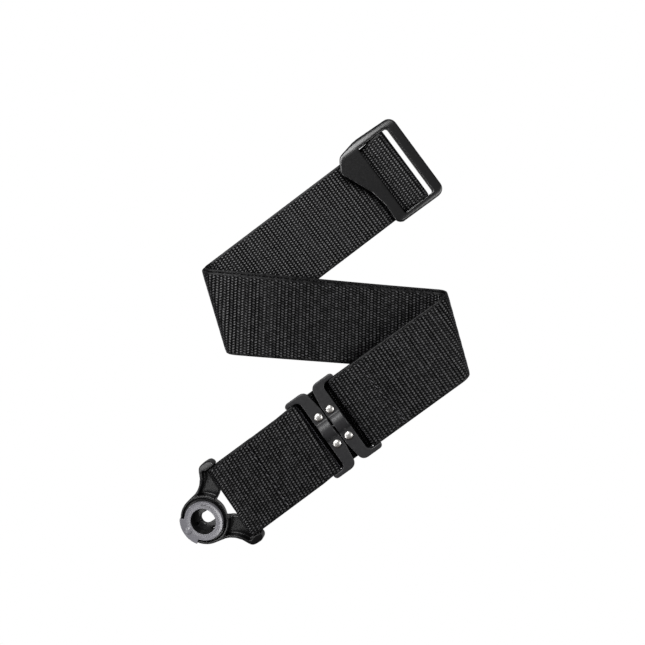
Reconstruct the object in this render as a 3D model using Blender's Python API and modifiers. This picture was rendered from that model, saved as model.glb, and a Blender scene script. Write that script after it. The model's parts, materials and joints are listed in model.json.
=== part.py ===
"""Guitar strap: a doubled band of webbing laid in a Z, with an auto-locking strap-button
lock at one end, a hinged two-frame adjuster on the band and a loop buckle at the far end.

All dimensions are in millimetres and become metres when a mesh is made.  The strap is laid
out round a point of its own, and LAYOUT_CENTRE moves the middle of its outline to the row
frame's origin, on the resting plane with +Z up.
"""

import math

import bmesh
import bpy
import numpy as np
from mathutils import Matrix, Vector

MM = 0.001
CLEAR = 0.3  # running gap between neighbouring pieces
LAYOUT_CENTRE = (1.6, -5.0, 0.1)  # the middle of the outline, in the layout's own frame

# ---- webbing ----
WEB_WIDTH = 50.0
WEB_THICK = 1.5
LAYER_STEP = 1.8  # from one layer's middle to the next one's
FLOOR_LAYER = 0.85  # height of the middle of a layer that lies on the resting plane

TOP_RUN_ANGLE = 37.94  # the run from the left fold up to the buckle
TOP_RUN_OFFSET = 49.5  # from the origin to that run's centre line
LEFT_FOLD_ANGLE = 106.6
LEFT_FOLD_DISTANCE = 55.9  # from the origin to the fold's axis
LEFT_FOLD_INNER = 5.64  # radius of the inner layer's middle
RIGHT_FOLD_ANGLE = 105.5
RIGHT_FOLD_DISTANCE = 73.4
RIGHT_FOLD_INNER = 5.52

# ---- loop buckle ----
BUCKLE_ANGLE = 36.4
BUCKLE_TILT = 4.5  # thumb plate raised, outer bar lowered
BUCKLE_CENTRE = (54.6, 103.1)  # middle of the open slot
BUCKLE_BAR_X = -4.9
BUCKLE_BAR_RADIUS = 1.6
BUCKLE_BAR_Z = 3.5

# ---- adjuster ----
ADJUSTER_DISTANCE = 89.6  # along the strap, from the right fold to the adjuster's middle
ADJUSTER_BAR_Z = 13.9
ADJUSTER_BAR_HALF = 1.3  # half the thickness of a hidden bar
LOCK_SIDE_BAR = 13.6  # from the adjuster's middle to each hidden bar's inner edge
STRAP_SIDE_BAR = 14.6
UNDER_LAYER_Z = 9.2  # middle of the layer that passes under both frames
FRAME_BOTTOM = 12.3
FRAME_TOP = 16.3
FRAME_REACH = 18.2  # from the adjuster's middle to the ends of the side rails
RIVET_X = 4.4
RIVET_Y = 10.0
LINK_Z = 14.9
LINK_BALL_X = 4.6
LINK_BALL_RADIUS = 2.3

# ---- lock ----
LOCK_ANGLE = 34.9
LOCK_TILT = 12.0  # the ring end hangs down to the resting plane
LOCK_BAR = (-55.7, -111.4, 12.4)  # middle of the bar
LOCK_BAR_X = 22.3  # from the dial's axis to the bar, inside the lock
LOCK_BAR_W = 4.5
LOCK_BAR_RADIUS = 1.5
LOBE_INNER = 25.3
SHELL_RADIUS = 15.9
JAW_TRAVEL = 4.15
LUG_RADIUS = 8.83  # from the dial's axis to its drive lugs

# ---- stitching ----
LOCK_STITCH_DISTANCE = 51.0  # from the adjuster's middle towards the lock
ADJUSTER_STITCH_DISTANCE = 36.4  # from the adjuster's middle towards the fold
STITCHES = 12


def flat(angle):
    """Unit vectors along an angle and square to it, in the plane."""
    a = math.radians(angle)
    return np.array([math.cos(a), math.sin(a)]), np.array([-math.sin(a), math.cos(a)])


# ------------------------------------------------------------------ scene and helpers


def clear_scene():
    for obj in list(bpy.data.objects):
        bpy.data.objects.remove(obj, do_unlink=True)


def collection(name):
    found = bpy.data.collections.get(name) or bpy.data.collections.new(name)
    if name not in bpy.context.scene.collection.children:
        bpy.context.scene.collection.children.link(found)
    return found


def material(name, colour, roughness, metallic=0.0):
    mat = bpy.data.materials.new(name)
    mat.use_nodes = True
    shader = mat.node_tree.nodes["Principled BSDF"]
    shader.inputs["Base Color"].default_value = (*colour, 1.0)
    shader.inputs["Roughness"].default_value = roughness
    shader.inputs["Metallic"].default_value = metallic
    return mat


clear_scene()
PARTS = collection("guitar_strap")
CUTTERS = collection("cutters")
WEBBING = material("webbing", (0.012, 0.012, 0.014), 0.85)
THREAD = material("thread", (0.03, 0.03, 0.034), 0.7)
LOCK_PLASTIC = material("lock_plastic", (0.01, 0.01, 0.012), 0.3)
DIAL_PLASTIC = material("dial_plastic", (0.2, 0.2, 0.21), 0.4)
FRAME_PLASTIC = material("frame_plastic", (0.035, 0.035, 0.04), 0.45)
BUCKLE_PLASTIC = material("buckle_plastic", (0.02, 0.02, 0.024), 0.5)
INNER_PLASTIC = material("inner_plastic", (0.015, 0.015, 0.017), 0.4)
STEEL = material("steel", (0.7, 0.68, 0.66), 0.25, 1.0)
ROOT = bpy.data.objects.new("strap_origin", None)
ROOT.location = Vector(LAYOUT_CENTRE) * -MM
PARTS.objects.link(ROOT)


def new_object(name, mesh, mat, parent=None):
    obj = bpy.data.objects.new(name, mesh)
    if mat is None:
        CUTTERS.objects.link(obj)
        obj.hide_render = True
        obj.display_type = "WIRE"
    else:
        PARTS.objects.link(obj)
        mesh.materials.clear()
        mesh.materials.append(mat)
    obj.parent = parent or ROOT
    return obj


def empty(name, location, parent=None, yaw=0.0, tilt=0.0):
    """A frame at a place in millimetres: yaw about +Z, then tilt raises its +X end."""
    obj = bpy.data.objects.new(name, None)
    PARTS.objects.link(obj)
    obj.parent = parent or ROOT
    turn = Matrix.Rotation(math.radians(yaw), 4, "Z") @ Matrix.Rotation(
        -math.radians(tilt), 4, "Y"
    )
    obj.matrix_local = Matrix.Translation(Vector(location) * MM) @ turn
    return obj


def finish_mesh(bm, name, smooth=True):
    """Weld, face the surface outwards, scale to metres and shade."""
    bmesh.ops.remove_doubles(bm, verts=bm.verts, dist=1e-4)
    bmesh.ops.recalc_face_normals(bm, faces=bm.faces)
    bmesh.ops.scale(bm, vec=(MM, MM, MM), verts=bm.verts)
    mesh = bpy.data.meshes.new(name)
    bm.to_mesh(mesh)
    bm.free()
    if smooth:
        mesh.shade_smooth()
        mesh.set_sharp_from_angle(angle=math.radians(35))
    return mesh


def corner_arc(before, at, after, radius, steps):
    """The rounded corner of a polygon, as points."""
    at = np.array(at, float)
    inward = np.array(before, float) - at
    onward = np.array(after, float) - at
    inward /= np.linalg.norm(inward)
    onward /= np.linalg.norm(onward)
    half = math.acos(max(-1.0, min(1.0, float(inward @ onward)))) / 2
    if radius <= 0 or half > math.radians(89):
        return [tuple(at)]
    middle = at + (inward + onward) / np.linalg.norm(inward + onward) * radius / math.sin(half)
    start = at + inward * radius / math.tan(half) - middle
    end = at + onward * radius / math.tan(half) - middle
    first = math.atan2(start[1], start[0])
    sweep = (math.atan2(end[1], end[0]) - first + math.pi) % (2 * math.pi) - math.pi
    count = max(1, round(steps * abs(sweep) / (math.pi / 2)))
    angles = [first + sweep * i / count for i in range(count + 1)]
    return [tuple(middle + radius * np.array([math.cos(a), math.sin(a)])) for a in angles]


def rounded(corners, steps=5):
    """A closed outline through corners (x, y, radius)."""
    points = []
    for i, (x, y, radius) in enumerate(corners):
        after = corners[(i + 1) % len(corners)][:2]
        points += corner_arc(corners[i - 1][:2], (x, y), after, radius, steps)
    return points


def arc(radius, start, end, steps, centre=(0.0, 0.0)):
    """Points along an arc, angles in degrees."""
    angles = np.radians(np.linspace(start, end, steps + 1))
    return [(centre[0] + radius * math.cos(a), centre[1] + radius * math.sin(a)) for a in angles]


def circle(radius, steps=32, centre=(0.0, 0.0)):
    return arc(radius, 0, 360, steps, centre)[:-1]


def slab_mesh(name, loops, low, high):
    """A flat solid between two heights: the first loop is outside, the others are holes."""
    curve = bpy.data.curves.new(name, "CURVE")
    curve.dimensions = "2D"
    curve.fill_mode = "BOTH"
    curve.extrude = (high - low) / 2
    for loop in loops:
        spline = curve.splines.new("POLY")
        spline.points.add(len(loop) - 1)
        for point, (x, y) in zip(spline.points, loop):
            point.co = (x, y, 0.0, 1.0)
        spline.use_cyclic_u = True
    obj = bpy.data.objects.new(name, curve)
    CUTTERS.objects.link(obj)
    shape = bpy.data.meshes.new_from_object(
        obj.evaluated_get(bpy.context.evaluated_depsgraph_get())
    )
    bpy.data.objects.remove(obj)
    bm = bmesh.new()
    bm.from_mesh(shape)
    bmesh.ops.translate(bm, vec=(0, 0, (low + high) / 2), verts=bm.verts)
    return finish_mesh(bm, name)


def slab(name, loops, low, high, mat, parent):
    return new_object(name, slab_mesh(name, loops, low, high), mat, parent)


def rod_mesh(name, radius, start, end, steps=24):
    """A cylinder between two points."""
    start, end = Vector(start), Vector(end)
    bm = bmesh.new()
    bmesh.ops.create_cone(
        bm, cap_ends=True, segments=steps, radius1=radius, radius2=radius, depth=(end - start).length
    )
    turn = (end - start).to_track_quat("Z", "Y").to_matrix().to_4x4()
    bmesh.ops.transform(bm, matrix=Matrix.Translation((start + end) / 2) @ turn, verts=bm.verts)
    return finish_mesh(bm, name)


def box_mesh(name, low, high):
    bm = bmesh.new()
    bmesh.ops.create_cube(bm, size=1.0)
    low, high = Vector(low), Vector(high)
    size = high - low
    bmesh.ops.transform(
        bm,
        matrix=Matrix.Translation((low + high) / 2) @ Matrix.Diagonal((*size, 1.0)),
        verts=bm.verts,
    )
    return finish_mesh(bm, name, smooth=False)


def turned(name, profile, mat, parent, steps=24):
    """A closed turned solid about local Z, from (radius, height) points, top to bottom."""
    bm = bmesh.new()
    line = [bm.verts.new((r, 0.0, z)) for r, z in profile]
    for first, second in zip(line, line[1:]):
        bm.edges.new((first, second))
    bmesh.ops.scale(bm, vec=(MM, MM, MM), verts=bm.verts)
    mesh = bpy.data.meshes.new(name)
    bm.to_mesh(mesh)
    bm.free()
    obj = new_object(name, mesh, mat, parent)
    screw = obj.modifiers.new("turn", "SCREW")
    screw.steps = steps
    screw.render_steps = steps
    screw.use_merge_vertices = True
    screw.merge_threshold = 0.00001
    screw.use_smooth_shade = True
    return obj


def boolean(obj, mesh, operation="DIFFERENCE"):
    """Cut the object with a hidden solid in the same frame, or join the solid to it."""
    tool = new_object(f"{obj.name}_{mesh.name}", mesh, None, obj.parent)
    modifier = obj.modifiers.new(mesh.name, "BOOLEAN")
    modifier.operation = operation
    modifier.object = tool
    return obj


# ------------------------------------------------------------------ webbing
# The band is a chain of rulings: straight lines across it, from its left to its right edge.


def meet(point, along, other, across):
    """Where two lines in the plane cross."""
    first, _ = np.linalg.solve(np.array([along, -across]).T, other - point)
    return point + along * first


def mirrored(point, line_point, along):
    offset = point - line_point
    return line_point + 2 * along * (offset @ along) - offset


class Fold:
    """A half-cylinder the band wraps round: an axis in plan, at a height."""

    def __init__(self, angle, distance, inner, side):
        along, across = flat(angle)
        self.along = along
        self.out = across * (1 if across[0] * side > 0 else -1)
        self.axis = self.out * distance
        self.inner = inner
        self.outer = inner + LAYER_STEP
        self.height = FLOOR_LAYER + self.outer

    def onward(self, edge, direction, radius):
        """The straight run on the fold's far side: a point on it and its direction."""
        mirror = self.axis + self.out * (math.pi / 2 * radius)
        return (
            mirrored(edge, mirror, self.along),
            2 * self.along * (direction @ self.along) - direction,
        )

    def wrap(self, entry, leave, radius, up, steps):
        """Rulings round the fold, from its entry ruling to its leaving one."""
        rows = []
        for i in range(steps + 1):
            turn = math.pi * i / steps
            level = -math.cos(turn) if up else math.cos(turn)
            row = []
            for start, end in zip(entry, leave):
                along = (1 - i / steps) * (start @ self.along) + (i / steps) * (end @ self.along)
                plan = self.out * (self.axis @ self.out + radius * math.sin(turn))
                plan = plan + self.along * along
                row.append((*plan, self.height + radius * level))
            rows.append(row)
        return rows


def run_edges(point, direction):
    """The two edge lines of a straight run, left and right of its direction."""
    side = np.array([-direction[1], direction[0]]) * WEB_WIDTH / 2
    return (point + side, point - side)


def ease(x):
    x = min(1.0, max(0.0, x))
    return x * x * (3 - 2 * x)


def slope(start, end, steps, shape):
    """Rulings between two others, both left out: height follows shape(0..1)."""
    rows = []
    for i in range(1, steps):
        t = i / steps
        row = []
        for a, b in zip(start, end):
            place = np.array(a) * (1 - t) + np.array(b) * t
            place[2] = a[2] + (b[2] - a[2]) * shape(t)
            row.append(tuple(place))
        rows.append(row)
    return rows


def across(centre, direction, height, width=WEB_WIDTH, slant=0.0):
    """A ruling square to a direction in plan, left edge first."""
    turn = math.radians(slant)
    side = np.array([-direction[1], direction[0]])
    side = side * math.cos(turn) + direction * math.sin(turn)
    left = centre + side * width / 2
    right = centre - side * width / 2
    return [(*left, height), (*right, height)]


def bend(centre, direction, height, radius, start, end, steps):
    """Rulings round a bar square to the band: angles in degrees in the upright plane."""
    rows = []
    for i in range(steps + 1):
        a = math.radians(start + (end - start) * i / steps)
        place = centre + direction * radius * math.cos(a)
        rows.append(across(place, direction, height + radius * math.sin(a)))
    return rows


LEFT_FOLD = Fold(LEFT_FOLD_ANGLE, LEFT_FOLD_DISTANCE, LEFT_FOLD_INNER, -1)
RIGHT_FOLD = Fold(RIGHT_FOLD_ANGLE, RIGHT_FOLD_DISTANCE, RIGHT_FOLD_INNER, 1)
BUCKLE_DIR, BUCKLE_SIDE = flat(BUCKLE_ANGLE)
TOP_DIR, TOP_SIDE = flat(TOP_RUN_ANGLE)
LOCK_DIR, LOCK_SIDE = flat(LOCK_ANGLE)


def layer(left_radius, right_radius):
    """One layer's rulings where its straight runs meet the two folds, from the buckle on."""
    towards_fold = -TOP_DIR
    lines = run_edges(TOP_SIDE * TOP_RUN_OFFSET, towards_fold)
    entry = [meet(p, towards_fold, LEFT_FOLD.axis, LEFT_FOLD.along) for p in lines]
    turned_lines = [LEFT_FOLD.onward(p, towards_fold, left_radius) for p in lines]
    leave = [meet(p, d, LEFT_FOLD.axis, LEFT_FOLD.along) for p, d in turned_lines]
    entry2 = [meet(p, d, RIGHT_FOLD.axis, RIGHT_FOLD.along) for p, d in turned_lines]
    last = [RIGHT_FOLD.onward(p, d, right_radius) for p, d in turned_lines]
    leave2 = [meet(p, d, RIGHT_FOLD.axis, RIGHT_FOLD.along) for p, d in last]
    return entry, leave, entry2, leave2, last[0][1]


LAYER_A = layer(LEFT_FOLD.inner, RIGHT_FOLD.outer)
LAYER_B = layer(LEFT_FOLD.outer, RIGHT_FOLD.inner)
STRAP_BACK = LAYER_A[4]  # from the right fold towards the lock
STRAP_DIR = -STRAP_BACK
ADJUSTER = (LAYER_A[3][0] + LAYER_A[3][1]) / 2 + STRAP_BACK * ADJUSTER_DISTANCE
STRAP_ANGLE = math.degrees(math.atan2(STRAP_DIR[1], STRAP_DIR[0]))
LOCK_RUN = ADJUSTER - np.array(LOCK_BAR[:2])
LOCK_RUN /= np.linalg.norm(LOCK_RUN)
FOLD_STEPS = 18
LOOP_STEPS = 12
PLATE_CLEARED = 19.0  # from the buckle's bar to where the top layer is down again


def swapped(rows):
    """The same rulings seen by a band that travels the other way."""
    return [[row[1], row[0]] for row in reversed(rows)]


def horizontal_fall(t):
    return ease(t / 0.9)


def layer_a_rows():
    """From the buckle's bar along the upper layer to the adjuster's strap-side bar."""
    entry, leave, entry2, leave2, _ = LAYER_A
    first = LEFT_FOLD.wrap(entry, leave, LEFT_FOLD.inner, True, FOLD_STEPS)
    second = RIGHT_FOLD.wrap(entry2, leave2, RIGHT_FOLD.outer, True, FOLD_STEPS)
    return first + slope(first[-1], second[0], 10, horizontal_fall) + second


def layer_b_rows():
    """The other layer, from the buckle's bar to the adjuster."""
    entry, leave, entry2, leave2, _ = LAYER_B
    first = LEFT_FOLD.wrap(entry, leave, LEFT_FOLD.outer, True, FOLD_STEPS)
    second = RIGHT_FOLD.wrap(entry2, leave2, RIGHT_FOLD.inner, True, FOLD_STEPS)
    return first + slope(first[-1], second[0], 10, horizontal_fall) + second


def buckle_loop():
    """Round the buckle's bar, from the under layer up and back over the top."""
    bar = np.array(BUCKLE_CENTRE) + BUCKLE_DIR * BUCKLE_BAR_X
    radius = BUCKLE_BAR_RADIUS + CLEAR + WEB_THICK / 2
    return bend(bar, BUCKLE_DIR, BUCKLE_BAR_Z, radius, -90, 90, LOOP_STEPS)


def lock_loop():
    """The sewn end: tail under the band, round the lock's bar and out along the top."""
    bar = np.array(LOCK_BAR[:2])
    radius = LOCK_BAR_RADIUS + CLEAR + WEB_THICK / 2
    around = bend(bar, LOCK_DIR, LOCK_BAR[2], radius, 270, 90, LOOP_STEPS)
    tail = [
        across(ADJUSTER - LOCK_RUN * (LOCK_STITCH_DISTANCE - 5), LOCK_RUN, 13.6),
        across(ADJUSTER - LOCK_RUN * (LOCK_STITCH_DISTANCE + 1), LOCK_RUN, 13.3),
        across(ADJUSTER - LOCK_RUN * (LOCK_STITCH_DISTANCE + 10), LOCK_RUN, 12.3),
    ]
    return tail + around


def lock_side_turn():
    """Over the lock-side bar, down through its slot and on under both frames."""
    radius = ADJUSTER_BAR_HALF + CLEAR + WEB_THICK / 2
    bar_x = LOCK_SIDE_BAR + ADJUSTER_BAR_HALF
    under = 1.7
    face = bar_x - radius
    start = [
        across(ADJUSTER - LOCK_RUN * 26.0, LOCK_RUN, ADJUSTER_BAR_Z + radius),
        across(ADJUSTER - STRAP_DIR * 18.8, STRAP_DIR, ADJUSTER_BAR_Z + radius),
    ]
    over = bend(ADJUSTER - STRAP_DIR * bar_x, STRAP_DIR, ADJUSTER_BAR_Z, radius, 90, 0, 6)
    below = bend(
        ADJUSTER - STRAP_DIR * (face - under), STRAP_DIR, UNDER_LAYER_Z + under, under, 180, 270, 6
    )
    end = across(ADJUSTER + STRAP_DIR * 14.0, STRAP_DIR, UNDER_LAYER_Z)
    return start + over + below + [end]


def strap_side_end():
    """The other sewn end: over the strap-side bar, round it and back as a tail."""
    radius = ADJUSTER_BAR_HALF + CLEAR + WEB_THICK / 2
    bar = ADJUSTER + STRAP_DIR * (STRAP_SIDE_BAR + ADJUSTER_BAR_HALF)
    lead = across(ADJUSTER + STRAP_DIR * 24.0, STRAP_BACK, ADJUSTER_BAR_Z + radius)
    around = bend(bar, STRAP_DIR, ADJUSTER_BAR_Z, radius, 90, 270, LOOP_STEPS)
    around = [[row[1], row[0]] for row in around]
    reach = ADJUSTER_STITCH_DISTANCE
    tail = [
        across(ADJUSTER + STRAP_DIR * (STRAP_SIDE_BAR + 6), STRAP_BACK, 11.55),
        across(ADJUSTER + STRAP_DIR * (STRAP_SIDE_BAR + 12), STRAP_BACK, 12.6),
        across(ADJUSTER + STRAP_DIR * (reach - 3), STRAP_BACK, 14.2),
        across(ADJUSTER + STRAP_DIR * (reach + 4.5), STRAP_BACK, 14.3),
    ]
    return [lead] + around + tail


def webbing_rows():
    """Every ruling of the band, from its sewn end at the lock to its end at the adjuster."""
    lock_end = lock_loop() + lock_side_turn()
    layer_b = swapped(layer_b_rows())
    rise = slope(lock_end[-1], layer_b[0], 6, ease)
    loop = buckle_loop()
    layer_a = layer_a_rows()
    layer_a = [[row[1], row[0]] for row in layer_a]
    down = np.array(loop[-1]) - np.array([*(TOP_DIR * PLATE_CLEARED), 0.0])
    down[:, 2] = FLOOR_LAYER + LAYER_STEP
    leave = slope(loop[-1], down, 6, ease) + [down.tolist()]
    end = [[row[1], row[0]] for row in strap_side_end()]
    onward = slope(layer_a[-1], end[0], 4, ease)
    rows = lock_end + rise + layer_b + loop + leave + layer_a + onward + end
    return np.array(rows, float)


def surface_normals(rows):
    """The band's face normal at each ruling, from its neighbours."""
    middles = rows.mean(axis=1)
    steps = np.diff(middles, axis=0)
    steps /= np.linalg.norm(steps, axis=1)[:, None]
    tangents = np.vstack([steps[:1], steps[:-1] + steps[1:], steps[-1:]])
    sides = rows[:, 0] - rows[:, 1]
    normals = np.cross(tangents, sides)
    return normals / np.linalg.norm(normals, axis=1)[:, None]


def make_webbing():
    rows = webbing_rows()
    offset = surface_normals(rows)[:, None, :] * WEB_THICK / 2
    bm = bmesh.new()
    rings = []
    for (left, right), (lift,) in zip(rows, offset):
        corners = (left + lift, right + lift, right - lift, left - lift)
        rings.append([bm.verts.new(c) for c in corners])
    for ring, following in zip(rings, rings[1:]):
        for i in range(4):
            j = (i + 1) % 4
            bm.faces.new((ring[i], ring[j], following[j], following[i]))
    bm.faces.new(rings[0])
    bm.faces.new(rings[-1])
    return new_object("webbing", finish_mesh(bm, "webbing"), WEBBING)


def make_stitching(name, centre, direction, height, slant):
    """A row of lockstitch lying just over the band, as one wavy thread."""
    radius = 0.3
    side = np.array([-direction[1], direction[0]])
    turn = math.radians(slant)
    side = side * math.cos(turn) + direction * math.sin(turn)
    curve = bpy.data.curves.new(name, "CURVE")
    curve.dimensions = "3D"
    curve.bevel_depth = radius * MM
    curve.bevel_resolution = 1
    curve.use_fill_caps = True
    spline = curve.splines.new("POLY")
    spline.points.add(2 * STITCHES)
    reach = WEB_WIDTH - 3.0
    for i, point in enumerate(spline.points):
        place = centre + side * reach * (0.5 - i / (2 * STITCHES))
        lift = height + CLEAR + radius + (0.25 if i % 2 else 0.0)
        point.co = (*(Vector((*place, lift)) * MM), 1.0)
    obj = bpy.data.objects.new(name, curve)
    PARTS.objects.link(obj)
    curve.materials.append(THREAD)
    obj.parent = ROOT
    return obj


# ------------------------------------------------------------------ loop buckle


def make_buckle():
    """One moulding: outer bar, two side rails, a round centre bar and a slanted thumb plate."""
    bar = np.array(BUCKLE_CENTRE) + BUCKLE_DIR * BUCKLE_BAR_X
    pivot = empty("buckle_axis", (*bar, BUCKLE_BAR_Z), yaw=BUCKLE_ANGLE, tilt=-BUCKLE_TILT)
    shift = -BUCKLE_BAR_X

    def moved(corners):
        return [(x + shift, y, r) for x, y, r in corners]

    outer = rounded(
        moved(
            [
                (8.3, -29.4, 5.5),
                (8.3, 30.0, 5.5),
                (-21.0, 30.6, 16.0),
                (-34.6, 27.6, 5.0),
                (-40.4, 18.6, 3.8),
                (-28.6, -8.5, 26.0),
                (-29.6, -29.4, 4.5),
            ]
        ),
        steps=5,
    )
    window = rounded(
        moved([(1.6, -25.2, 1.5), (1.6, 25.4, 1.5), (-21.6, 24.85, 1.2), (-21.6, -25.75, 0.6)]), 3
    )
    top = 2.8
    buckle = slab("loop_buckle", [outer, window], -1.6, top, BUCKLE_PLASTIC, pivot)
    under = slab_mesh(
        "plate_relief",
        [rounded(moved([(-20.6, -25.8, 0), (-20.6, 26.5, 0), (-45, 40, 0), (-45, -40, 0)]), 1)],
        -3.0,
        0.5,
    )
    boolean(buckle, under)
    boolean(buckle, rod_mesh("centre_bar", BUCKLE_BAR_RADIUS, (0, -27, 0), (0, 27.5, 0)), "UNION")
    return buckle


# ------------------------------------------------------------------ adjuster


def stadium(start, end, half):
    """A round-ended profile in the upright plane, from start to end."""
    return arc(half, 90, 270, 6, (start + half, 0.0)) + arc(half, -90, 90, 6, (end - half, 0.0))


def upright(mesh):
    """Turn a slab drawn in (x, z) so that its thickness runs along y."""
    mesh.transform(Matrix.Rotation(math.radians(90), 4, "X"))
    return mesh


def frame_outline():
    """The U of a frame seen from above: facing bar and two side rails, open at the far end."""
    half = 28.2
    inner = 25.13
    slot = 9.0
    far = FRAME_REACH
    corners = [
        (0.3, -13.5, 3.0),
        (2.3, -half, 4.6),
        (far, -half, 2.4),
        (far, -inner, 0.35),
        (slot, -inner, 3.4),
        (slot, inner, 3.4),
        (far, inner, 0.35),
        (far, half, 2.4),
        (2.3, half, 4.6),
        (0.3, 13.5, 3.0),
    ]
    return rounded(corners, 4)


def make_frame(name, sign, bar_inner):
    """An adjuster frame: its hinge is the hidden bar's round inner edge."""
    axis_x = bar_inner + ADJUSTER_BAR_HALF
    axis = (*(ADJUSTER + STRAP_DIR * sign * axis_x), ADJUSTER_BAR_Z)
    yaw = STRAP_ANGLE + (0 if sign > 0 else 180)
    pivot = empty(f"{name}_axis", axis, yaw=yaw)
    bottom, top = FRAME_BOTTOM - ADJUSTER_BAR_Z, FRAME_TOP - ADJUSTER_BAR_Z
    link_z = LINK_Z - ADJUSTER_BAR_Z
    outline = [(x - axis_x, y) for x, y in frame_outline()]
    frame = slab(name, [outline], bottom, top, FRAME_PLASTIC, pivot)
    profile = stadium(-ADJUSTER_BAR_HALF, FRAME_REACH - 0.5 - axis_x, ADJUSTER_BAR_HALF)
    boolean(frame, upright(slab_mesh("hidden_bar", [profile], -26.4, 26.4)), "UNION")
    for side in (-1, 1):
        ends = sorted((side * 24.2, side * 26.6))
        web = box_mesh("corner_web", (8.0 - axis_x, ends[0], bottom - 0.4), (-3.4, ends[1], bottom + 0.5))
        boolean(frame, web, "UNION")
    arch_radius = 8.9
    arch_top = top + 2.6
    arch = rod_mesh(
        "arch",
        arch_radius,
        (0.6 - axis_x, 0, arch_top - arch_radius),
        (8.9 - axis_x, 0, arch_top - arch_radius),
        48,
    )
    trim_arch(arch, top - 0.5)
    boolean(frame, arch, "UNION")
    pocket = rod_mesh("ball_pocket", 2.6, (1.6 - axis_x, 0, link_z), (7.7 - axis_x, 0, link_z), 20)
    neck = rod_mesh("neck_channel", 1.9, (-1 - axis_x, 0, link_z), (2.5 - axis_x, 0, link_z), 20)
    boolean(frame, pocket)
    boolean(frame, neck)
    for side in (-1, 1):
        place = (RIVET_X - axis_x, side * RIVET_Y)
        boolean(
            frame, rod_mesh(f"rivet_hole_{side}", 1.35, (*place, bottom - 1), (*place, top + 1), 16)
        )
    make_clamp_plate(name, pivot, axis_x)
    for side in (-1, 1):
        make_rivet(pivot, name, side, (RIVET_X - axis_x, side * RIVET_Y), top)
    return pivot, axis_x


def trim_arch(mesh, height):
    """Keep the part of the arch cylinder above a height."""
    bm = bmesh.new()
    bm.from_mesh(mesh)
    bmesh.ops.bisect_plane(
        bm,
        geom=bm.verts[:] + bm.edges[:] + bm.faces[:],
        plane_co=(0, 0, height * MM),
        plane_no=(0, 0, 1),
        clear_inner=True,
    )
    rim = [e for e in bm.edges if e.is_boundary]
    bmesh.ops.edgeloop_fill(bm, edges=rim)
    bmesh.ops.recalc_face_normals(bm, faces=bm.faces)
    bm.to_mesh(mesh)
    bm.free()


def make_clamp_plate(frame_name, pivot, axis_x):
    side_name = frame_name.replace("adjuster_frame", "clamp_plate")
    low, high = 11.0 - ADJUSTER_BAR_Z, 12.0 - ADJUSTER_BAR_Z
    outline = [(1.1, -13.2, 1.5), (8.5, -13.2, 1.5), (8.5, 13.2, 1.5), (1.1, 13.2, 1.5)]
    outer = rounded([(x - axis_x, y, r) for x, y, r in outline], 3)
    holes = [circle(1.35, 16, (RIVET_X - axis_x, side * RIVET_Y)) for side in (-1, 1)]
    return slab(side_name, [outer] + holes, low, high, STEEL, pivot)


def make_rivet(pivot, frame_name, side, place, frame_top):
    """A domed rivet: dome over the facing bar, shank, and a thin formed head underneath."""
    end = "lock_side" if "lock_side" in frame_name else "strap_side"
    corner = "right" if side < 0 else "left"
    if end == "lock_side":
        corner = "left" if side < 0 else "right"
    seat = frame_top + CLEAR
    tail_top = 11.0 - ADJUSTER_BAR_Z - CLEAR
    dome = [(2.65 * math.sin(a), seat + 0.25 + 1.15 * math.cos(a)) for a in np.radians([0, 22, 45, 68, 90])]
    profile = [(0.0, dome[0][1])] + dome[1:]
    profile += [(2.65, seat), (1.05, seat), (1.05, tail_top), (1.8, tail_top)]
    profile += [(1.8, tail_top - 0.4), (0.0, tail_top - 0.4)]
    rivet = turned(f"rivet_{end}_{corner}", profile, STEEL, pivot, 20)
    rivet.location = Vector((*place, 0.0)) * MM
    return rivet


def make_link(parent, axis_x):
    """A pin with a ball at each end; its origin is the lock-side ball's centre."""
    hinge = empty("link_axis", (LINK_BALL_X - axis_x, 0, LINK_Z - ADJUSTER_BAR_Z), parent)
    shaft = 1.1
    first = math.degrees(math.asin(shaft / LINK_BALL_RADIUS))
    ball = [math.radians(first + (180 - first) * i / 7) for i in range(8)]
    far = [(LINK_BALL_RADIUS * math.sin(a), LINK_BALL_RADIUS * math.cos(a)) for a in ball]
    length = 2 * LINK_BALL_X
    near_end = [(r, -z + length) for r, z in reversed(far)]
    profile = [(max(r, 0.0), z) for r, z in near_end + far]
    link = turned("swivel_link", profile, STEEL, hinge, 16)
    link.rotation_euler = (0, math.radians(-90), 0)
    return link


def make_adjuster():
    lock_pivot, axis_x = make_frame("adjuster_frame_lock_side", -1, LOCK_SIDE_BAR)
    make_frame("adjuster_frame_strap_side", 1, STRAP_SIDE_BAR)
    make_link(lock_pivot, axis_x)


# ------------------------------------------------------------------ lock
# Inside the lock, x runs from the dial's axis towards the strap, y across, z out of its face.


def lock_outline():
    """The shell seen from the front: a disc with two arms that end in round lobes."""
    upper = [
        (14.4, 6.9, 0.8),
        (18.8, 10.4, 1.2),
        (18.8, LOBE_INNER, 0.4),
        (26.6, LOBE_INNER, 1.0),
        (26.6, 30.1, 3.4),
        (17.0, 30.1, 4.6),
        (12.5, 21.3, 9.0),
        (6.2, 17.2, 7.0),
        (0.5, 16.2, 0.0),
    ]
    lower = [(x, -y, r) for x, y, r in reversed(upper)]
    front = [(x, y, 0.0) for x, y in arc(SHELL_RADIUS, -23, 23, 6)]
    return rounded(lower + front + upper, 4) + arc(SHELL_RADIUS, 97, 263, 22)


def arm_scoop(side):
    """What is scooped out of an arm from the front, leaving its outer wall."""
    ring = arc(16.2, 80, 24, 8)
    outer = [
        (19.6, 8.0, 0.0),
        (19.6, 26.1, 0.0),
        (17.0, 26.1, 1.2),
        (13.8, 20.2, 9.0),
        (7.0, 15.6, 2.0),
    ]
    shape = rounded([(x, y, 0.0) for x, y in ring] + outer, 3)
    return [(x, side * y) for x, y in shape]


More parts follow.
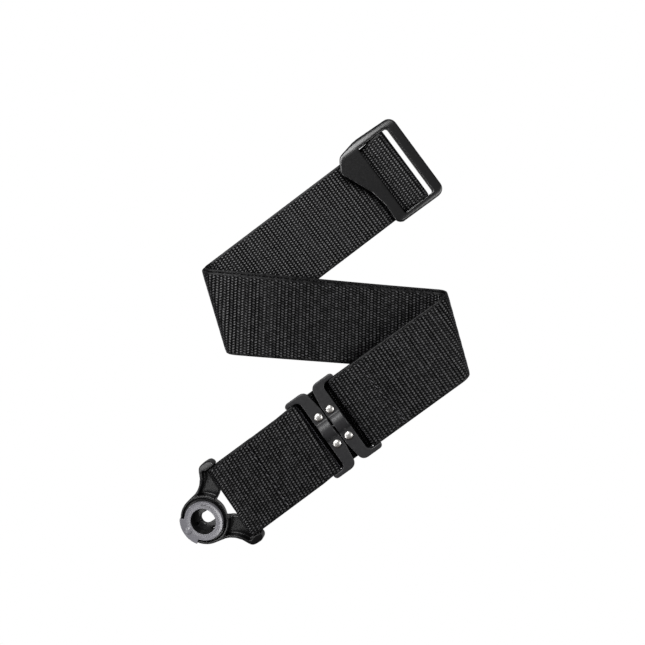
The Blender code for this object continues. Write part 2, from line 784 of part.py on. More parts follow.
def throat_relief():
    """The wall between the arms leans in towards the back; this is what lies outside it."""
    low, high = 12.3, 15.75
    outline = arc(20.5, -27, 27, 8) + arc(low, 27, -27, 12)
    mesh = slab_mesh("throat_relief", [outline], -0.5, 9.5)
    for vertex in mesh.vertices:
        if vertex.co.z > 0 and vertex.co.xy.length < 19 * MM:
            vertex.co.x *= high / low
            vertex.co.y *= high / low
    return mesh


def make_lock_body(lock):
    body = slab("lock_body", [lock_outline()], 2.2, 8.9, LOCK_PLASTIC, lock)
    for side, word in ((1, "left"), (-1, "right")):
        boolean(body, slab_mesh(f"scoop_{word}", [arm_scoop(side)], 4.6, 10.0))
    boolean(body, throat_relief())
    boolean(body, slab_mesh("jaw_chamber", [arc(14.4, 39, 321, 34)], 1.0, 5.9))
    boolean(body, rod_mesh("dial_recess", 14.3, (0, 0, 7.6), (0, 0, 10.0), 40))
    boolean(body, rod_mesh("sleeve_hole", 9.8, (0, 0, 5.0), (0, 0, 8.5), 32))
    bar = (LOCK_BAR_X, 29.3, LOCK_BAR_W)
    boolean(body, rod_mesh("bar_bore", LOCK_BAR_RADIUS + CLEAR, (bar[0], -bar[1], bar[2]), bar, 16))
    for i, (x, y) in enumerate(SCREW_PLACES):
        boolean(body, rod_mesh(f"screw_pilot_{i}", 1.0, (x, y, 1.0), (x, y, 4.2), 12))
    return body


SCREW_PLACES = [(9.4, 16.6), (15.4, 21.6), (9.4, -16.6), (15.4, -21.6)]


def cover_outline():
    upper = [(14.1, 6.9, 0.8), (18.5, 10.4, 1.0), (18.7, 25.0, 1.6), (14.4, 24.2, 1.0)]
    upper += [(12.2, 21.2, 3.0), (6.2, 16.8, 5.0), (0.5, 15.8, 0.0)]
    lower = [(x, -y, r) for x, y, r in reversed(upper)]
    front = [(x, y, 0.0) for x, y in arc(15.6, -23, 23, 6)]
    return rounded(lower + front + upper, 3) + arc(15.6, 97, 263, 20)


def make_back_cover(lock):
    holes = [circle(8.4, 28)] + [circle(1.0, 12, place) for place in SCREW_PLACES]
    cover = slab("lock_back_cover", [cover_outline()] + holes, 0.0, 1.9, LOCK_PLASTIC, lock)
    boolean(cover, throat_relief())
    for i, (x, y) in enumerate(SCREW_PLACES):
        boolean(cover, rod_mesh(f"screw_seat_{i}", 1.8, (x, y, -1.0), (x, y, 1.0), 16))
    return cover


def make_dial(dial_axis):
    """The release dial: ring, thumb tab, arc rib, nub, sleeve and two drive lugs."""
    dial = slab("release_dial", [circle(12.5, 40), circle(8.15, 32)], 7.9, 10.8, DIAL_PLASTIC, dial_axis)
    tab = arc(15.7, 142.3, 217.7, 10) + arc(11.0, 217.7, 142.3, 8)
    boolean(dial, slab_mesh("thumb_tab", [tab], 9.2, 10.79), "UNION")
    rib = arc(12.9, -62, 62, 16) + arc(10.9, 62, -62, 16)
    boolean(dial, slab_mesh("arc_rib", [rib], 9.9, 11.5), "UNION")
    boolean(dial, slab_mesh("sleeve", [circle(9.5, 32), circle(8.15, 32)], 4.9, 8.3), "UNION")
    boolean(dial, nub_mesh(), "UNION")
    for side in (-1, 1):
        place = (side * LUG_RADIUS, 0)
        lug = rod_mesh(f"lug_{side}", 0.62, (*place, 2.7), (*place, 5.4), 10)
        boolean(dial, lug, "UNION")
    return dial


def nub_mesh():
    bm = bmesh.new()
    bmesh.ops.create_uvsphere(bm, u_segments=16, v_segments=8, radius=2.5)
    bmesh.ops.scale(bm, vec=(1, 1, 0.6), verts=bm.verts)
    bmesh.ops.translate(bm, vec=(-11.8, 0, 10.3), verts=bm.verts)
    return finish_mesh(bm, "nub")


def make_retaining_ring(dial_axis):
    loops = [circle(10.9, 32), circle(9.8, 28)]
    return slab("dial_retaining_ring", loops, 4.95, 5.6, STEEL, dial_axis)


def jaw_outline(side):
    """Half of the U the button's neck sits in, with a notch and a hook for the lugs."""
    reach = 14.0
    gap = CLEAR / 2
    edge = math.degrees(math.asin((JAW_TRAVEL + gap) / reach))
    back = [(min(x, 10.9), y - JAW_TRAVEL) for x, y in arc(reach, edge, 180 - edge, 16)]
    notch = 0.95
    inner = [
        (-LUG_RADIUS - 1.0, gap),
        (-LUG_RADIUS - 1.0, notch),
        (-LUG_RADIUS + 2.1, notch),
        (-LUG_RADIUS + 2.1, gap),
    ]
    throat = arc(3.8, 177.7, 90, 8)
    hook = [(7.0, 3.8), (7.0, notch), (LUG_RADIUS + 1.0, notch), (LUG_RADIUS + 1.0, gap)]
    shape = back + inner + throat + hook
    return [(x, side * y) for x, y in shape]


def make_jaw(name, side, lock):
    jaw = slab(name, [jaw_outline(side)], 2.35, 4.55, INNER_PLASTIC, lock)
    if side > 0:
        for start, end in ((-9.9, -3.9), (7.05, 10.8)):
            boolean(jaw, box_mesh("tongue", (start, -1.3, 1.97), (end, 1.6, 2.29)), "UNION")
            boolean(jaw, box_mesh("tongue_root", (start, 1.1, 2.1), (end, 1.6, 2.6)), "UNION")
    pocket = box_mesh("spring_pocket", (-1.35, side * 10.9 - 3.95, 2.8), (1.35, side * 10.9 + 3.95, 5.2))
    return boolean(jaw, pocket)


def make_jaw_spring(name, side, lock):
    """A small coil spring along y, between a jaw's pocket and the chamber's wall."""
    start, end = 7.3, 14.0
    turns, wire, coil = 5, 0.2, 0.75
    curve = bpy.data.curves.new(name, "CURVE")
    curve.dimensions = "3D"
    curve.bevel_depth = wire * MM
    curve.bevel_resolution = 1
    curve.use_fill_caps = True
    steps = turns * 9
    spline = curve.splines.new("POLY")
    spline.points.add(steps)
    for i, point in enumerate(spline.points):
        a = 2 * math.pi * turns * i / steps
        along = start + wire + (end - start - 2 * wire) * i / steps
        place = Vector((coil * math.cos(a), side * along, 3.85 + coil * math.sin(a)))
        point.co = (*(place * MM), 1.0)
    obj = bpy.data.objects.new(name, curve)
    PARTS.objects.link(obj)
    curve.materials.append(STEEL)
    obj.parent = lock
    return obj


def make_screw(name, place, lock):
    """A countersunk-seat pan screw that holds the back cover on."""
    profile = [(0.0, 3.9), (0.45, 3.9), (0.7, 3.4), (0.7, 0.7), (1.5, 0.7), (1.5, 0.25)]
    profile += [(1.2, 0.05), (0.0, 0.05)]
    screw = turned(name, profile, STEEL, lock, 12)
    screw.location = Vector((*place, 0.0)) * MM
    return screw


def make_lock():
    pivot = empty("lock_axis", LOCK_BAR, yaw=LOCK_ANGLE, tilt=LOCK_TILT)
    lock = empty("lock_frame", (-LOCK_BAR_X, 0, -LOCK_BAR_W), pivot)
    dial_axis = empty("dial_axis", (0, 0, 0), lock)
    make_lock_body(lock)
    make_back_cover(lock)
    make_dial(dial_axis)
    make_retaining_ring(dial_axis)
    for name, side in (("left", 1), ("right", -1)):
        make_jaw(f"jaw_{name}", side, lock)
        make_jaw_spring(f"jaw_spring_{name}", side, lock)
    bar = (LOCK_BAR_X, 29.0, LOCK_BAR_W)
    mesh = rod_mesh("lock_bar", LOCK_BAR_RADIUS, (bar[0], -bar[1], bar[2]), bar, 20)
    new_object("lock_bar", mesh, STEEL, lock)
    for i, place in enumerate(SCREW_PLACES, 1):
        make_screw(f"cover_screw_{i}", place, lock)


make_webbing()
make_stitching(
    "lock_end_stitching", ADJUSTER - LOCK_RUN * LOCK_STITCH_DISTANCE, LOCK_RUN, 16.6, 2.5
)
make_stitching(
    "adjuster_end_stitching",
    ADJUSTER + STRAP_DIR * ADJUSTER_STITCH_DISTANCE,
    STRAP_DIR,
    17.1,
    -4.5,
)
make_buckle()
make_adjuster()
make_lock()
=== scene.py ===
"""Looks for the folded guitar strap: woven webbing, sewn rows, moulded plastic and steel."""

import json
import math

import bmesh
import bpy
import numpy as np
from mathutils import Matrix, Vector


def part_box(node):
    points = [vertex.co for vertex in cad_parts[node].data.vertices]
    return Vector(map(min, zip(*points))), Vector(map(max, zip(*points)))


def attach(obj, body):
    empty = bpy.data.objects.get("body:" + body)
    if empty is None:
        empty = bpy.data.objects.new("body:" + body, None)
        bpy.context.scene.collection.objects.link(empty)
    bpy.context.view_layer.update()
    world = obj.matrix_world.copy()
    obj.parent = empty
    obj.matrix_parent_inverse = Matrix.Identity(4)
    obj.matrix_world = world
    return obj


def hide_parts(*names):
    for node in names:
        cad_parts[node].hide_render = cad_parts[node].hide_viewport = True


MM = 0.001

# ---- tints, as shares of red, green and blue ----
WHITE = (1.0, 1.0, 1.0)
COOL = (0.98, 0.96, 1.06)  # the yarn and the plastics
WARM = (1.0, 0.98, 0.95)  # steel
PAINTED_WARM_REFLECTION = (1.0, 0.84, 0.74)  # painted warm reflection, for steel that faces down the table

# ---- weave, in millimetres unless a comment says otherwise ----
BAND_WIDTH = 50.0
BAND_THICKNESS = 1.5
RIB_PITCH = 2.28  # from one crosswise rib to the next
WARP_PITCH = 1.66  # from one yarn float to the next along a rib
RIB_HEIGHT = 0.2
SELVEDGE = 1.1  # the plain strip beside the ribs
SHADOW_REACH = 6.0  # how near a piece has to be to darken the cloth with painted shadow
ROWS_PER_RIB = 4  # a count
UV_PER_MM = 0.01  # texture units

# ---- sewn rows, in millimetres unless a comment says otherwise ----
STITCH_PITCH = 4.1
STITCH_RADIUS = 0.5
STITCH_TAPER = 0.35  # how much thinner its ends are, as a share of the radius
STITCH_HALF = 0.38  # from its middle to an end, as a share of the pitch
STITCH_LEAN = 0.3  # sideways, from its middle to an end
STITCH_SINK = 0.3  # its base line, below the CAD thread's lowest point
STITCH_RISE = 0.336  # its middle, above that line
STITCH_DIP = 0.92  # its ends, below its middle
STITCH_STEPS = 10  # a count, along it
STITCH_FACETS = 8  # a count, round it

# ---- release dial, in millimetres unless a comment says otherwise ----
SLEEVE_RADIUS = 8.35
DISH_START = 10.2
DISH_END = 12.6
DISH_LEAN = -0.24  # how far normals lean at its end; below 0 is inwards

# ---- camera and table, in metres unless a comment says otherwise ----
CAMERA_HEIGHT = 0.4499  # above the resting plane
CAMERA_SIDE = (-0.0016, 0.005)
CAMERA_LENS = 38.89  # millimetres, on a 36 mm sensor
TABLE_HALF = 3.0
TABLE_DROP = 0.0005  # below the resting plane
TABLE_GLOW = 0.3  # what the strap gets from it, as a share of what the camera sees

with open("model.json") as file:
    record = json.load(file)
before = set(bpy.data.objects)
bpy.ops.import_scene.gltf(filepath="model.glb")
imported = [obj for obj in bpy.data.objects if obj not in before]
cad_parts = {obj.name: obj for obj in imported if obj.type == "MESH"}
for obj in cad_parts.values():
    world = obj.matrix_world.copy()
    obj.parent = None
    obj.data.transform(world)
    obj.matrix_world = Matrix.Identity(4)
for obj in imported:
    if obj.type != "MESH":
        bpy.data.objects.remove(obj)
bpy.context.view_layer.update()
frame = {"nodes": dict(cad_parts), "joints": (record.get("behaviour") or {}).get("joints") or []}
NODES = frame["nodes"]


# ------------------------------------------------------------------ node trees


class Tree:
    """A material's or a world's node tree, with short ways to add nodes."""

    def __init__(self, name, library="materials"):
        self.owner = getattr(bpy.data, library).new(name)
        self.owner.use_nodes = True
        self.tree = self.owner.node_tree
        self.tree.nodes.clear()

    def join(self, socket, value):
        """Link a node's output to a socket, or set the socket's own value."""
        if isinstance(value, bpy.types.NodeSocket):
            self.tree.links.new(value, socket)
        else:
            socket.default_value = value

    def add(self, kind, inputs=None, **settings):
        node = self.tree.nodes.new("ShaderNode" + kind)
        for key, value in settings.items():
            setattr(node, key, value)
        for key, value in (inputs or {}).items():
            self.join(node.inputs[key], value)
        return node

    def math(self, operation, *values):
        return self.add("Math", dict(enumerate(values)), operation=operation).outputs[0]

    def vector(self, operation, *values):
        """A vector operation whose result is a vector."""
        node = self.add("VectorMath", dict(enumerate(values)), operation=operation)
        return node.outputs["Vector"]

    def number(self, operation, *values):
        """A vector operation whose result is a number."""
        node = self.add("VectorMath", dict(enumerate(values)), operation=operation)
        return node.outputs["Value"]

    def ramp(self, value, low, high, to_low=0.0, to_high=1.0):
        names = {"Value": value, "From Min": low, "From Max": high}
        names.update({"To Min": to_low, "To Max": to_high})
        return self.add("MapRange", names).outputs[0]

    def blend(self, factor, first, second):
        node = self.add("Mix", {"Factor": factor}, data_type="RGBA")
        self.join(node.inputs[6], first)
        self.join(node.inputs[7], second)
        return node.outputs[2]

    def place(self):
        """Where a point is in the piece's own frame."""
        return self.add("TexCoord").outputs["Object"]

    def noise(self, scale, detail):
        inputs = {"Scale": scale, "Detail": detail, "Vector": self.place()}
        return self.add("TexNoise", inputs).outputs["Fac"]

    def openness(self, distance):
        """1 on an open surface, less where something lies within so many millimetres of it."""
        inputs = {"Distance": distance * MM}
        return self.add("AmbientOcclusion", inputs, samples=6).outputs["AO"]

    def bump(self, height, distance, strength=1.0, normal=None):
        """A normal bumped by a height; the distance is in millimetres."""
        inputs = {"Height": height, "Distance": distance * MM, "Strength": strength}
        if normal:
            inputs["Normal"] = normal
        return self.add("Bump", inputs).outputs[0]

    def surface(self, **inputs):
        names = {name.replace("_", " "): value for name, value in inputs.items()}
        shader = self.add("BsdfPrincipled", names)
        self.add("OutputMaterial", {"Surface": shader.outputs[0]})
        return self.owner


def grey(level, tint=WHITE):
    """A tinted grey as red, green, blue and alpha."""
    return (level * tint[0], level * tint[1], level * tint[2], 1.0)


# ------------------------------------------------------------------ cloth and thread


def weave_cells(t, uv):
    """The rib a point is on, where it is across the rib and along its float, and a draw.

    Floats on odd ribs are half a step from those on even ones, and lean the other way. The
    draw is one random number per float.
    """
    along = t.math("DIVIDE", uv[1], RIB_PITCH * UV_PER_MM)
    rib = t.math("FLOOR", along)
    in_rib = t.math("SUBTRACT", t.math("FRACT", along), 0.5)
    odd = t.math("MODULO", rib, 2.0)
    lean = t.math("MULTIPLY", in_rib, t.math("SUBTRACT", 0.35, t.math("MULTIPLY", odd, 0.7)))
    columns = t.math("DIVIDE", uv[0], WARP_PITCH * UV_PER_MM)
    columns = t.math("ADD", t.math("MULTIPLY_ADD", odd, 0.5, columns), lean)
    in_float = t.math("SUBTRACT", t.math("FRACT", columns), 0.5)
    cell = t.add("CombineXYZ", {0: t.math("FLOOR", columns), 1: rib}).outputs[0]
    draw = t.add("TexWhiteNoise", {"Vector": cell}, noise_dimensions="2D").outputs["Value"]
    return rib, in_rib, in_float, draw


def yarn_height(t, across, in_rib, in_float, draw):
    """0 in the gaps between floats, up to 1 on top of one, and 0.4 to 0.5 along the selvedge."""
    over_rib = t.math("COSINE", t.math("MULTIPLY", in_rib, math.pi))
    over_float = t.math("COSINE", t.math("MULTIPLY", in_float, math.pi))
    hump = t.math("MULTIPLY", t.math("POWER", over_rib, 1.1), t.math("POWER", over_float, 0.7))
    ribs_end = BAND_WIDTH / 2 - SELVEDGE
    edge = t.ramp(across, (ribs_end - 0.3) * UV_PER_MM, (ribs_end + 0.2) * UV_PER_MM)
    woven = t.math("MULTIPLY", hump, t.math("SUBTRACT", 1.0, edge))
    crown = t.math("MULTIPLY_ADD", edge, 0.5, woven)
    return t.math("MULTIPLY", crown, t.ramp(draw, 0.0, 1.0, 0.8, 1.0))


def light_reaching(t):
    """How much light reaches the cloth, for its painted shadow: 0 under or beside another piece
    and 1 in the open, and always 1 where cloth faces down.
    """
    in_the_open = t.ramp(t.openness(SHADOW_REACH), 0.5, 0.92)
    normal = t.add("NewGeometry").outputs["True Normal"]
    facing_up = t.add("SeparateXYZ", {0: normal}).outputs[2]
    return t.math("MAXIMUM", in_the_open, t.ramp(facing_up, -0.3, 0.0, 1.0, 0.0))


def webbing_material():
    """Plain weave: crosswise ribs, each a row of yarn floats set half a step from the next."""
    t = Tree("webbing_weave")
    uv = t.add("SeparateXYZ", {0: t.add("UVMap").outputs[0]}).outputs
    rib, in_rib, in_float, draw = weave_cells(t, uv)
    yarn = yarn_height(t, t.math("ABSOLUTE", uv[0]), in_rib, in_float, draw)
    height = t.math("ADD", yarn, t.math("MULTIPLY", t.noise(2200.0, 3.0), 0.05))

    # painted shade: the colour darkens into the gaps between floats and lightens on their tops,
    # and each float has a random tone of its own; the shine follows the same heights
    light = t.math("MULTIPLY", t.math("POWER", yarn, 3.0), t.ramp(draw, 0.0, 1.0, 0.3, 1.0))
    colour = t.blend(light, grey(0.0012, COOL), grey(0.03, COOL))
    groove = t.math("GREATER_THAN", t.math("ABSOLUTE", in_rib), 0.46)
    rib_draw = t.add("TexWhiteNoise", {"W": rib}, noise_dimensions="1D").outputs["Value"]
    line = t.math("MULTIPLY", groove, t.ramp(rib_draw, 0.55, 0.9, 0.0, 0.55))
    colour = t.blend(line, colour, grey(0.02, COOL))
    shine = t.math("MAXIMUM", t.ramp(yarn, 0.3, 0.85, 0.02, 0.6), t.math("MULTIPLY", line, 0.4))

    # painted shadow: under and beside other pieces the cloth's colour goes near black and its
    # shine drops
    reached = light_reaching(t)
    return t.surface(
        Base_Color=t.blend(reached, grey(0.0008, COOL), colour),
        Roughness=t.ramp(draw, 0.0, 1.0, 0.34, 0.5),
        Specular_IOR_Level=t.math("MULTIPLY", shine, reached),
        Normal=t.bump(height, 0.4),
        Sheen_Weight=0.06,
        Sheen_Roughness=0.3,
        Sheen_Tint=grey(0.9, COOL),
    )


def thread_material():
    """Twisted thread, shinier than the band."""
    t = Tree("thread_twist")
    waves = {"Vector": t.place(), "Scale": 900.0, "Distortion": 1.0}
    twist = t.add("TexWave", waves).outputs["Fac"]
    colour = t.blend(twist, grey(0.012, COOL), grey(0.04, COOL))
    return t.surface(Base_Color=colour, Roughness=0.36, Normal=t.bump(twist, 0.1, 0.6))


# ------------------------------------------------------------------ plastic and steel


def joint_offset(t, name):
    """A surface point's place from a joint, and the joint's axis."""
    joint = next(j for j in frame["joints"] if j["name"] == name)
    return t.vector("SUBTRACT", t.place(), tuple(joint["pos_m"])), tuple(joint["axis"])


def leaned(t, normal, way, amount):
    """A normal pushed over by so much along a direction given in the piece's own frame."""
    settings = {"vector_type": "VECTOR", "convert_from": "OBJECT", "convert_to": "WORLD"}
    way = t.add("VectorTransform", {0: way}, **settings).outputs[0]
    push = t.add("VectorMath", {0: way, "Scale": amount}, operation="SCALE").outputs[0]
    return t.vector("NORMALIZE", t.vector("ADD", normal, push))


def domed(t, normal, joint, start, end, slope):
    """A normal that leans outwards near a moulding's two ends along a joint's axis.

    The lean grows from nothing to slope between two distances in millimetres.
    """
    offset, axis = joint_offset(t, joint)
    out = t.number("DOT_PRODUCT", offset, axis)
    size = t.ramp(t.math("ABSOLUTE", out), start * MM, end * MM, 0.0, slope)
    return leaned(t, normal, axis, t.math("MULTIPLY", t.math("SIGN", out), size))


def moulded_look(t, level, roughness, grain, edge):
    """A moulding's colour, roughness and normal; grain and edge radius are in millimetres."""
    fine = t.noise(5200.0, 3.0)
    flow = t.noise(160.0, 4.0)
    scuff = t.noise(900.0, 6.0)
    colour = t.blend(flow, grey(level * 0.86, COOL), grey(level * 1.14, COOL))
    gloss = t.ramp(scuff, 0.3, 0.75, roughness * 0.85, roughness * 1.25)
    worn = t.add("Bevel", {"Radius": edge * MM}, samples=12).outputs[0]
    normal = t.bump(fine, grain, 0.6, t.bump(flow, 0.02, 0.4, worn))
    return colour, gloss, normal


def moulded(name, level, roughness, grain, shine=0.5, edge=1.0, dome=None):
    """Moulded plastic: a fine grain, faint flow marks and handling wear in its gloss."""
    t = Tree(name)
    colour, gloss, normal = moulded_look(t, level, roughness, grain, edge)
    if dome:
        normal = domed(t, normal, *dome)
    return t.surface(Base_Color=colour, Roughness=gloss, Normal=normal, Specular_IOR_Level=shine)


def dial_material():
    """Grey satin plastic, its face shaded as a shallow dish; painted shade darkens its hollows
    and makes its sleeve in the hole black.
    """
    t = Tree("dial_satin_plastic")
    colour, gloss, normal = moulded_look(t, level=0.122, roughness=0.27, grain=0.004, edge=0.4)
    offset, axis = joint_offset(t, "dial_turn")
    swept = t.vector("CROSS_PRODUCT", offset, axis)
    radius = t.number("LENGTH", swept)
    outwards = t.vector("NORMALIZE", t.vector("CROSS_PRODUCT", axis, swept))
    dish = t.ramp(radius, DISH_START * MM, DISH_END * MM, 0.0, DISH_LEAN)
    normal = leaned(t, normal, outwards, dish)
    # painted shade: the dial darkens where something lies within 1.5 millimetres of it
    colour = t.blend(t.ramp(t.openness(1.5), 0.5, 0.95), grey(0.06, COOL), colour)
    # painted shade: the sleeve inside the hole is black and dull
    sleeve_from, sleeve_to = (SLEEVE_RADIUS - 0.1) * MM, (SLEEVE_RADIUS + 0.1) * MM
    painted_sleeve_shade = t.ramp(radius, sleeve_from, sleeve_to, 1.0, 0.0)
    colour = t.blend(painted_sleeve_shade, colour, grey(0.004, COOL))
    shine = t.ramp(painted_sleeve_shade, 0.0, 1.0, 0.5, 0.15)
    return t.surface(Base_Color=colour, Roughness=gloss, Normal=normal, Specular_IOR_Level=shine)


def steel(name, level, roughness):
    """Plated steel with fine marks from forming; a painted reflection makes it darker and warmer
    where it faces down the table.
    """
    t = Tree(name)
    marks = t.noise(2400.0, 5.0)
    facing = t.add("TexCoord").outputs["Normal"]
    low = t.number("DOT_PRODUCT", facing, (0.25, -0.95, 0.1))
    colour = t.blend(marks, grey(level * 0.9, WARM), grey(level, WARM))
    # painted reflection: steel that faces down the table is darker and warmer
    colour = t.blend(t.ramp(low, 0.25, 0.7), colour, grey(level * 0.55, PAINTED_WARM_REFLECTION))
    gloss = t.ramp(marks, 0.3, 0.7, roughness * 0.7, roughness * 1.4)
    normal = t.bump(marks, 0.015, 0.5)
    return t.surface(Base_Color=colour, Metallic=1.0, Roughness=gloss, Normal=normal)


# ------------------------------------------------------------------ the woven band


def band_edges():
    """The CAD band's four long edges as point arrays, from its lock end on.

    They come as two pairs, right and left, each with its lower edge first.
    """
    bm = bmesh.new()
    bm.from_mesh(NODES["webbing"].data)
    bmesh.ops.remove_doubles(bm, verts=bm.verts, dist=2e-6)
    links = {v: [] for v in bm.verts}
    for edge in bm.edges:
        if edge.calc_face_angle(0.0) > 1.0:
            links[edge.verts[0]].append(edge.verts[1])
            links[edge.verts[1]].append(edge.verts[0])
    corners = [v for v in bm.verts if len(links[v]) == 3]
    lock = sum(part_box("lock_back_cover"), Vector()) / 2
    first = min(corners, key=lambda v: (v.co - lock).length)
    near = sorted(corners, key=lambda v: (v.co - first.co).length)[:2]
    far = [w for v in near for w in links[v] if len(links[w]) == 3 and w not in near]
    lines = []
    for start in far + near:
        line = [start, next(v for v in links[start] if len(links[v]) == 2)]
        while len(links[line[-1]]) == 2:
            line.append(next(v for v in links[line[-1]] if v is not line[-2]))
        lines.append(np.array([v.co for v in line], float))
    bm.free()
    lines.sort(key=lambda line: line[0, 1])
    return [sorted(pair, key=lambda line: line[0, 2]) for pair in (lines[:2], lines[2:])]


def travelled(line):
    """How far along a line each of its points is."""
    return np.concatenate([[0.0], np.cumsum(np.linalg.norm(np.diff(line, axis=0), axis=1))])


def smoothed(grid, reach):
    """A running average along the band, over so many rows each way."""
    weights = np.hanning(2 * reach + 3)[1:-1]
    weights /= weights.sum()
    padded = np.concatenate([grid[:1]] * reach + [grid] + [grid[-1:]] * reach)
    out = np.zeros_like(grid)
    for i, weight in enumerate(weights):
        out += weight * padded[i : i + len(grid)]
    return out


def band_surface(step, shares):
    """The band's middle surface, in rows a step apart with a column for each share of its width.

    Gives how far along each row is, in millimetres, and the grid's points and their normals.
    """
    (right_low, right_high), (left_low, left_high) = band_edges()
    left, right = (left_low + left_high) / 2, (right_low + right_high) / 2
    run_left, run_right = travelled(left), travelled(right)
    length = min(run_left[-1], run_right[-1])
    rows = np.linspace(0.0, length, int(length / step) + 1)
    grid = np.empty((len(rows), len(shares), 3))
    for j, share in enumerate(shares):
        line = left + share * (right - left)
        run = run_left + share * (run_right - run_left)
        for axis in range(3):
            grid[:, j, axis] = np.interp(rows, run, line[:, axis])
    grid = smoothed(grid, 2)
    along = np.gradient(grid, axis=0)
    across = np.gradient(grid, axis=1)
    normals = np.cross(along, -across)
    normals /= np.linalg.norm(normals, axis=2)[:, :, None]
    return rows / MM, grid, normals


def mesh_from_rings(name, points, uv):
    """A closed tube mesh from rings of points, with a UV place for each point."""
    rows, ring = points.shape[:2]
    index = np.arange(rows * ring).reshape(rows, ring)
    following = np.roll(index, -1, axis=1)
    quads = np.stack([index[:-1], index[1:], following[1:], following[:-1]], axis=2)
    faces = quads.reshape(-1, 4).tolist()
    faces += [index[0].tolist(), index[-1][::-1].tolist()]
    mesh = bpy.data.meshes.new(name)
    mesh.from_pydata(points.reshape(-1, 3).tolist(), [], faces)
    corner = np.empty(len(mesh.loops), np.int32)
    mesh.loops.foreach_get("vertex_index", corner)
    layer = mesh.uv_layers.new(name="UVMap")
    layer.data.foreach_set("uv", uv.reshape(-1, 2)[corner].astype(np.float32).ravel())
    mesh.shade_smooth()
    mesh.update()
    return mesh


def new_piece(name, mesh, material, node):
    """A piece that moves with the band and stands in for a CAD node."""
    obj = bpy.data.objects.new(name, mesh)
    bpy.context.scene.collection.objects.link(obj)
    mesh.materials.append(material)
    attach(obj, "band")
    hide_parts(node)


def band_profile():
    """The band's rounded section, point by point.

    Gives the place across in millimetres, the height in half thicknesses, and how much of
    the ribs' height is there.
    """
    flat = BAND_WIDTH / 2 - 0.5
    shoulder = flat + 0.4
    side = flat + 0.62
    top = [(v, 1.0) for v in np.linspace(flat, -flat, 27)]
    half = top + [(-shoulder, 0.86), (-side, 0.35), (-side, -0.35), (-shoulder, -0.86)]
    points = half + [(-v, -h) for v, h in half]
    across = np.array([p[0] for p in points])
    height = np.array([p[1] for p in points])
    weave = np.clip((BAND_WIDTH / 2 - SELVEDGE - np.abs(across)) / 0.6, 0.12, 1.0)
    return across, height, weave


def weave_band(material):
    """The band's ribbed skin, swept along the CAD band's middle surface."""
    across, height, weave = band_profile()
    order = np.argsort(-across, kind="stable")
    shares = 0.5 - across[order] / BAND_WIDTH
    unique, back = np.unique(shares.round(6), return_inverse=True)
    rows, grid, normals = band_surface(RIB_PITCH * MM / ROWS_PER_RIB, unique)
    column = np.empty(len(across), int)
    column[order] = back
    surface, normal = grid[:, column], normals[:, column]
    rib = 0.5 + 0.5 * np.cos(2 * math.pi * (rows / RIB_PITCH - 0.5))
    flat = BAND_THICKNESS / 2 - RIB_HEIGHT
    ribs = np.sign(height)[None, :] * weave[None, :] * rib[:, None] * RIB_HEIGHT
    lift = height[None, :] * flat + ribs
    points = surface + normal * (lift * MM)[:, :, None]
    uv = np.stack(np.broadcast_arrays(across[None, :], rows[:, None]), axis=2) * UV_PER_MM
    mesh = mesh_from_rings("woven_band", points, uv)
    new_piece("woven_band", mesh, material, "webbing")


# ------------------------------------------------------------------ sewn rows


def thread_line(node):
    """Where a sewn row starts and ends, and its lowest height, from the CAD thread."""
    points = np.array([v.co for v in NODES[node].data.vertices], float)
    middle = points.mean(axis=0)
    _, _, axes = np.linalg.svd(points - middle, full_matrices=False)
    places = (points - middle) @ axes[0]
    return middle + axes[0] * places.min(), middle + axes[0] * places.max(), points[:, 2].min()


def stitch(bm, centre, along, side, up, pitch):
    """One short thread that bows up in its middle and dips into the cloth at both ends."""
    rings = []
    for k in range(STITCH_STEPS + 1):
        t = 2.0 * k / STITCH_STEPS - 1.0
        place = centre + along * (t * STITCH_HALF * pitch) + side * (t * STITCH_LEAN * MM)
        place = place + up * (STITCH_RISE - STITCH_DIP * t**4) * MM
        radius = STITCH_RADIUS * MM * (1.0 - STITCH_TAPER * t * t)
        ring = []
        for m in range(STITCH_FACETS):
            turn = 2 * math.pi * m / STITCH_FACETS
            offset = side * math.cos(turn) + up * math.sin(turn)
            ring.append(bm.verts.new(place + offset * radius))
        rings.append(ring)
    for first, second in zip(rings, rings[1:]):
        for m in range(STITCH_FACETS):
            n = (m + 1) % STITCH_FACETS
            bm.faces.new((first[m], first[n], second[n], second[m]))
    bm.faces.new(rings[0][::-1])
    bm.faces.new(rings[-1])


def sew(name, node, material):
    """A row of lockstitches in place of a CAD thread."""
    start, end, floor = thread_line(node)
    reach = np.linalg.norm(end - start)
    count = int(reach / (STITCH_PITCH * MM))
    along = (end - start) / reach
    up = np.array([0.0, 0.0, 1.0])
    side = np.cross(up, along)
    bm = bmesh.new()
    for i in range(count):
        centre = start + (end - start) * (i + 0.5) / count
        centre[2] = floor - STITCH_SINK * MM
        stitch(bm, centre, along, side, up, reach / count)
    mesh = bpy.data.meshes.new(name)
    bm.to_mesh(mesh)
    bm.free()
    mesh.shade_smooth()
    new_piece(name, mesh, material, node)


# ------------------------------------------------------------------ CAD pieces


def dress(node, material, voxel=0.0, rounds=0):
    """Give a CAD node its material, and a moulded one a fine new skin with worn edges.

    The skin is rebuilt from voxels of so many millimetres, then smoothed so many times.
    """
    obj = NODES[node]
    obj.data.materials.clear()
    obj.data.materials.append(material)
    weld = obj.modifiers.new("weld", "WELD")
    weld.merge_threshold = 0.002 * MM
    if voxel:
        skin = obj.modifiers.new("skin", "REMESH")
        skin.mode = "VOXEL"
        skin.voxel_size = voxel * MM
        skin.use_smooth_shade = True
        wear = obj.modifiers.new("rounding", "SMOOTH")
        wear.factor = 0.5
        wear.iterations = rounds


